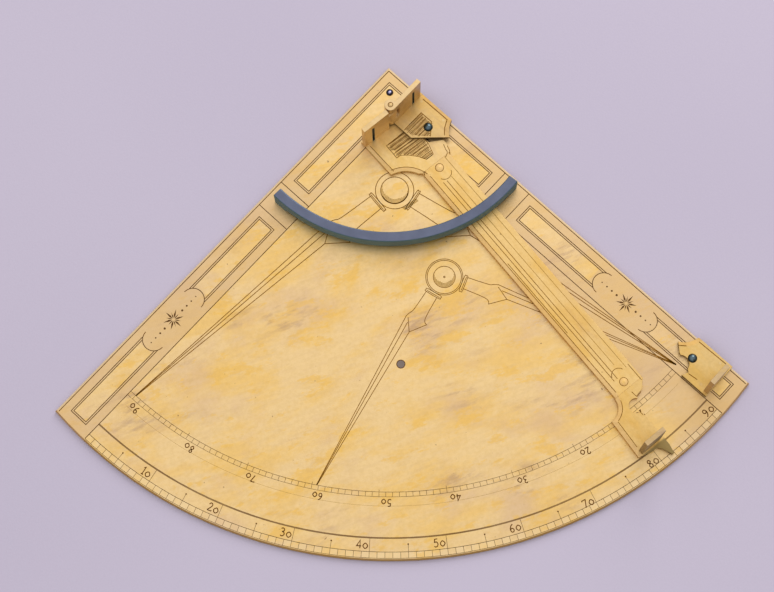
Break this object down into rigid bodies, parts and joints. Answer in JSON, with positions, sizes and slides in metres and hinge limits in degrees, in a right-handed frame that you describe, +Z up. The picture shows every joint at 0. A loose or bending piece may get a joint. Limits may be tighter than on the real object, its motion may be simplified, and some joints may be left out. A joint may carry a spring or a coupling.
{
  "type": "quadrant",
  "caption": "Gilt brass quadrant for measuring altitudes, with a pivoted sighting arm, fixed sight vanes, degree scales and a blued steel bow over the arm.",
  "frame": {"origin": "middle of the bounding box in plan, on the plate's flat back", "axes": "+Z up out of the engraved face, +Y towards the square apex with the pivot, +X towards the ninety degree border"},
  "size_m": [0.4252, 0.3124, 0.0374],
  "materials": {
    "gilt_brass": "old fire gilding over brass, satin, with brown lines and stains",
    "blued_steel": "heat blued, satin",
    "steel": "dark polished steel"
  },
  "bodies": {
    "quadrant": {"quadrant_plate": "gilt_brass", "pivot_post": "gilt_brass", "apex_pin": "steel", "centre_rivet": "gilt_brass", "steel_bow": "blued_steel", "bow_screws": "steel", "upper_sight_plate": "gilt_brass", "upper_sight_riser": "gilt_brass", "upper_stud_collar": "gilt_brass", "upper_sight_vane": "gilt_brass", "upper_sight_stud": "blued_steel", "upper_steady_pins": "gilt_brass", "lower_sight_plate": "gilt_brass", "lower_sight_vane": "gilt_brass", "lower_sight_stud": "blued_steel", "lower_steady_pins": "gilt_brass"},
    "alidade": {"alidade_head": "gilt_brass", "alidade_bar": "gilt_brass", "alidade_foot": "gilt_brass", "alidade_rivets": "gilt_brass", "alidade_upper_vane": "gilt_brass", "alidade_lower_vane": "gilt_brass"}
  },
  "joints": [
    {"name": "alidade_pivot", "type": "hinge", "parent": "quadrant", "child": "alidade", "pos_m": [0, 0.12029, 0.003], "axis": [0, 0, 1], "range_deg": [-82.1, 7.9]}
  ]
}
